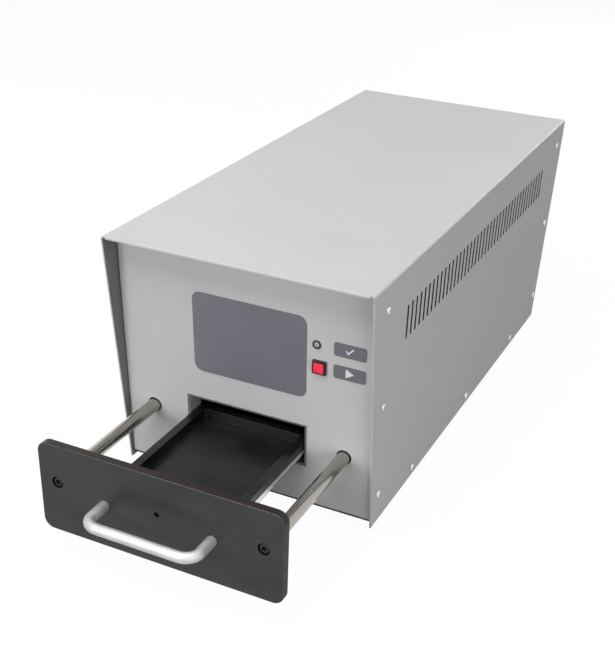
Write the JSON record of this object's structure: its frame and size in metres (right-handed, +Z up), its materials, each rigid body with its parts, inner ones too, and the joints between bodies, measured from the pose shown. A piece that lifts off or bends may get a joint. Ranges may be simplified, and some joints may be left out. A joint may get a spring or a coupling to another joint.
{
  "type": "hard drive degausser",
  "caption": "Bench degausser: sheet-metal case with a coil chamber behind a drawer on guide rods, a bow handle, start button, ready lamp, slotted sides, rear fan and mains inlet.",
  "frame": {"origin": "on the standing surface, below the middle of the whole length with the drawer open", "axes": "+X to the right seen from the front, +Y from the handle to the rear panel, +Z up"},
  "size_m": [0.269, 0.7592, 0.257],
  "materials": {
    "case_paint": "light grey satin powder coat",
    "zinc_sheet": "zinc-plated sheet",
    "nickel": "nickel-plated screws",
    "steel": "ground steel",
    "black_steel": "black oxide steel",
    "laminate": "black paper laminate with brown cut edges",
    "acetal": "white acetal",
    "anodised": "satin anodised aluminium",
    "black_plastic": "moulded black plastic",
    "red_plastic": "translucent red plastic",
    "clear_lens": "clear lens",
    "rubber": "black rubber",
    "copper": "copper",
    "winding": "enamelled copper wire",
    "can": "painted aluminium case",
    "board": "green circuit board",
    "core": "varnished laminations"
  },
  "bodies": {
    "case": {"cover": "case_paint", "cover_screws": "nickel", "base_pan": "zinc_sheet", "feet": "rubber", "front_panel": "case_paint", "rear_panel": "case_paint", "lamp_bezel": "black_plastic", "lamp_lens": "clear_lens", "button_bezel": "black_plastic", "button_switch": "black_plastic", "coil_former": "laminate", "coil_winding": "winding", "coil_saddles": "laminate", "rod_guide_left": "acetal", "rod_guide_right": "acetal", "drawer_switch": "black_plastic", "switch_post": "zinc_sheet", "capacitors": "can", "capacitor_cradle": "laminate", "bus_bars": "copper", "coil_leads": "copper", "heatsink": "anodised", "thyristor": "black_plastic", "bleed_resistors": "anodised", "transformer_core": "core", "transformer_winding": "winding", "transformer_frame": "zinc_sheet", "control_shelf": "zinc_sheet", "board_spacers": "nickel", "control_board": "board", "board_parts": "black_plastic", "fan_frame": "black_plastic", "fan_screws": "nickel", "mains_inlet": "black_plastic", "rocker_frame": "black_plastic"},
    "drawer": {"drawer_front": "laminate", "drawer_handle": "anodised", "guide_rod_left": "steel", "guide_rod_right": "steel", "rod_screws": "black_steel", "rod_collars": "black_steel", "media_tray": "laminate", "tray_slides": "steel", "tray_stud": "nickel"},
    "start_button": {"button_cap": "red_plastic"},
    "fan": {"fan_rotor": "black_plastic"},
    "rocker": {"power_rocker": "black_plastic"}
  },
  "joints": [
    {"name": "drawer_slide", "type": "slide", "parent": "case", "child": "drawer", "axis": [0, 1, 0], "range_m": [0, 0.147]},
    {"name": "start_press", "type": "slide", "parent": "case", "child": "start_button", "axis": [0, 0.9988, 0.048], "range_m": [0, 0.0015], "stiffness_N_per_m": 400, "springref_m": -0.003},
    {"name": "fan_spin", "type": "hinge", "parent": "case", "child": "fan", "pos_m": [-0.06, 0.35553, 0.184], "axis": [0, 0.9988, -0.048], "continuous": true},
    {"name": "rocker_tilt", "type": "hinge", "parent": "case", "child": "rocker", "pos_m": [0.062, 0.35296, 0.11998], "axis": [0, 0.048, 0.9988], "range_deg": [0, 20]}
  ]
}
